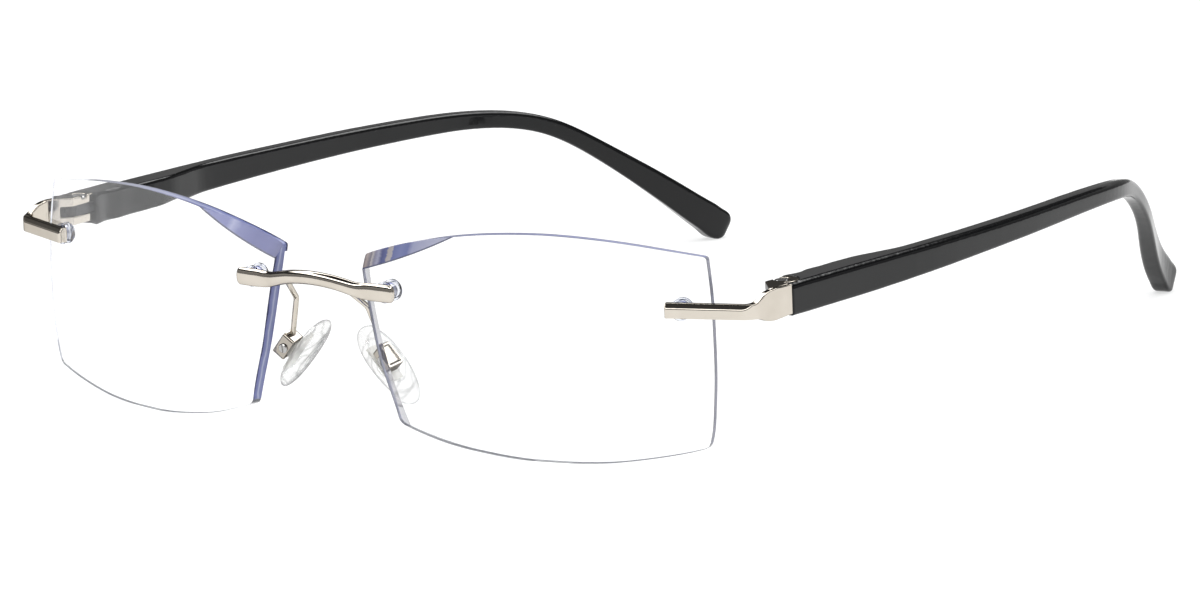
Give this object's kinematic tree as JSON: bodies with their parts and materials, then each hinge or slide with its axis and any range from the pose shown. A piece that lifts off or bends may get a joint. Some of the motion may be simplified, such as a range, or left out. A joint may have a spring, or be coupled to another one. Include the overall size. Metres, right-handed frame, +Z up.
{
  "type": "rimless eyeglasses",
  "caption": "Rimless eyeglasses: clear soft-rectangular lenses, slim silver bow bridge and wrapped endpieces, silicone nose pads, glossy black folding temples with drop tips.",
  "frame": {"origin": "centre of the whole open object's footprint, on the table that the lens bottoms and the two temple tips rest on", "axes": "+Z up, the lens fronts face -Y and the temples run back along +Y, +X is the wearer's left"},
  "size_m": [0.141, 0.1549, 0.0336],
  "materials": {
    "lens_clear": "clear polished demo lens with a faint blue-violet coating tint at edges and facets",
    "clear_plastic": "clear moulded nylon",
    "polished_silver": "polished warm silver plating",
    "screw_steel": "turned and polished steel",
    "black_steel": "blackened satin steel",
    "black_gloss": "glossy moulded black",
    "pad_core": "clear-white hard plastic seen through the pad",
    "silicone": "soft clear silicone, slightly cloudy"
  },
  "bodies": {
    "front": {"left_lens": "lens_clear", "left_nasal_sleeve": "clear_plastic", "left_temporal_sleeve": "clear_plastic", "left_nasal_washer": "clear_plastic", "left_temporal_washer": "clear_plastic", "left_endpiece": "polished_silver", "left_hinge_screw": "screw_steel", "left_pad_box": "polished_silver", "left_pad_arm": "polished_silver", "left_pad_screw": "screw_steel", "right_lens": "lens_clear", "right_nasal_sleeve": "clear_plastic", "right_temporal_sleeve": "clear_plastic", "right_nasal_washer": "clear_plastic", "right_temporal_washer": "clear_plastic", "right_endpiece": "polished_silver", "right_hinge_screw": "screw_steel", "right_pad_box": "polished_silver", "right_pad_arm": "polished_silver", "right_pad_screw": "screw_steel", "bridge": "polished_silver"},
    "left_temple": {"left_temple": "black_gloss", "left_temple_core": "black_steel"},
    "right_temple": {"right_temple": "black_gloss", "right_temple_core": "black_steel"},
    "left_pad": {"left_nose_pad": "silicone", "left_pad_insert": "pad_core"},
    "right_pad": {"right_nose_pad": "silicone", "right_pad_insert": "pad_core"}
  },
  "joints": [
    {"name": "left_temple_fold", "type": "hinge", "parent": "front", "child": "left_temple", "pos_m": [0.06715, -0.05016, 0.02433], "axis": [0, 0, 1], "range_deg": [0, 81]},
    {"name": "right_temple_fold", "type": "hinge", "parent": "front", "child": "right_temple", "pos_m": [-0.06715, -0.05016, 0.02433], "axis": [0, 0, -1], "range_deg": [0, 70]},
    {"name": "left_pad_rock", "type": "hinge", "parent": "front", "child": "left_pad", "pos_m": [0.00968, -0.07083, 0.01274], "axis": [0.1239, 0.9745, 0.187], "range_deg": [-7, 7]},
    {"name": "right_pad_rock", "type": "hinge", "parent": "front", "child": "right_pad", "pos_m": [-0.00968, -0.07083, 0.01274], "axis": [-0.1239, 0.9745, 0.187], "range_deg": [-7, 7]}
  ]
}
